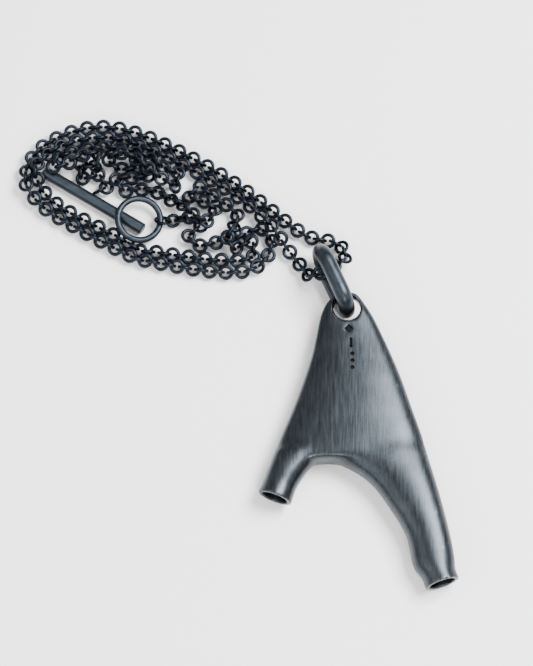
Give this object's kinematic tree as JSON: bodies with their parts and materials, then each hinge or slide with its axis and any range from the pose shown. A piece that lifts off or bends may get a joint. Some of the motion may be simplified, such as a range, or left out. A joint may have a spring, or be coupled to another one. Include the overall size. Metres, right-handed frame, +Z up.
{
  "type": "pendant ocarina",
  "caption": "Slim two-legged wishbone vessel flute hung by an eye on a stadium bail, with a long fine cable chain laid in loops and a toggle clasp.",
  "frame": {"origin": "on the floor under the middle of the ocarina and its bail, seen from above", "axes": "+Y from the leg ends towards the eye and the bail, +Z up out of the vessel's front face, +X to the long leg's side"},
  "size_m": [0.1074, 0.1221, 0.013],
  "materials": {
    "vessel_silver": "brushed, darkened",
    "block_silver": "matt",
    "bail_silver": "satin, darkened",
    "clasp_silver": "matt, darkened",
    "chain_silver": "polished, blackened"
  },
  "bodies": {
    "chain": {"bar_chain_01": "chain_silver", "bar_chain_02": "chain_silver", "bar_chain_03": "chain_silver", "bar_chain_04": "chain_silver", "bar_chain_05": "chain_silver", "bar_chain_06": "chain_silver", "bar_chain_07": "chain_silver", "ring_chain_01": "chain_silver", "ring_chain_02": "chain_silver", "ring_chain_03": "chain_silver", "ring_chain_04": "chain_silver", "ring_chain_05": "chain_silver", "ring_link": "chain_silver", "toggle_bar": "clasp_silver", "bar_eye": "chain_silver"},
    "bail": {"bail": "bail_silver"},
    "ocarina": {"front_shell": "vessel_silver", "back_shell": "vessel_silver", "windway_block": "block_silver"},
    "toggle_ring": {"toggle_ring": "clasp_silver"}
  },
  "joints": [
    {"name": "bail_swing", "type": "hinge", "parent": "chain", "child": "bail", "pos_m": [-0.00687, 0.03718, 0.0065], "axis": [-0.9157, -0.402, 0], "range_deg": [0, 75]},
    {"name": "ocarina_swing", "type": "hinge", "parent": "bail", "child": "ocarina", "pos_m": [-0.00406, 0.03077, 0.0065], "axis": [-0.9157, -0.402, 0], "range_deg": [0, 75]},
    {"name": "ring_flip", "type": "hinge", "parent": "chain", "child": "toggle_ring", "pos_m": [-0.04807, 0.05169, 0.0021], "axis": [0, 0.9948, 0.102], "range_deg": [0, 60]}
  ]
}
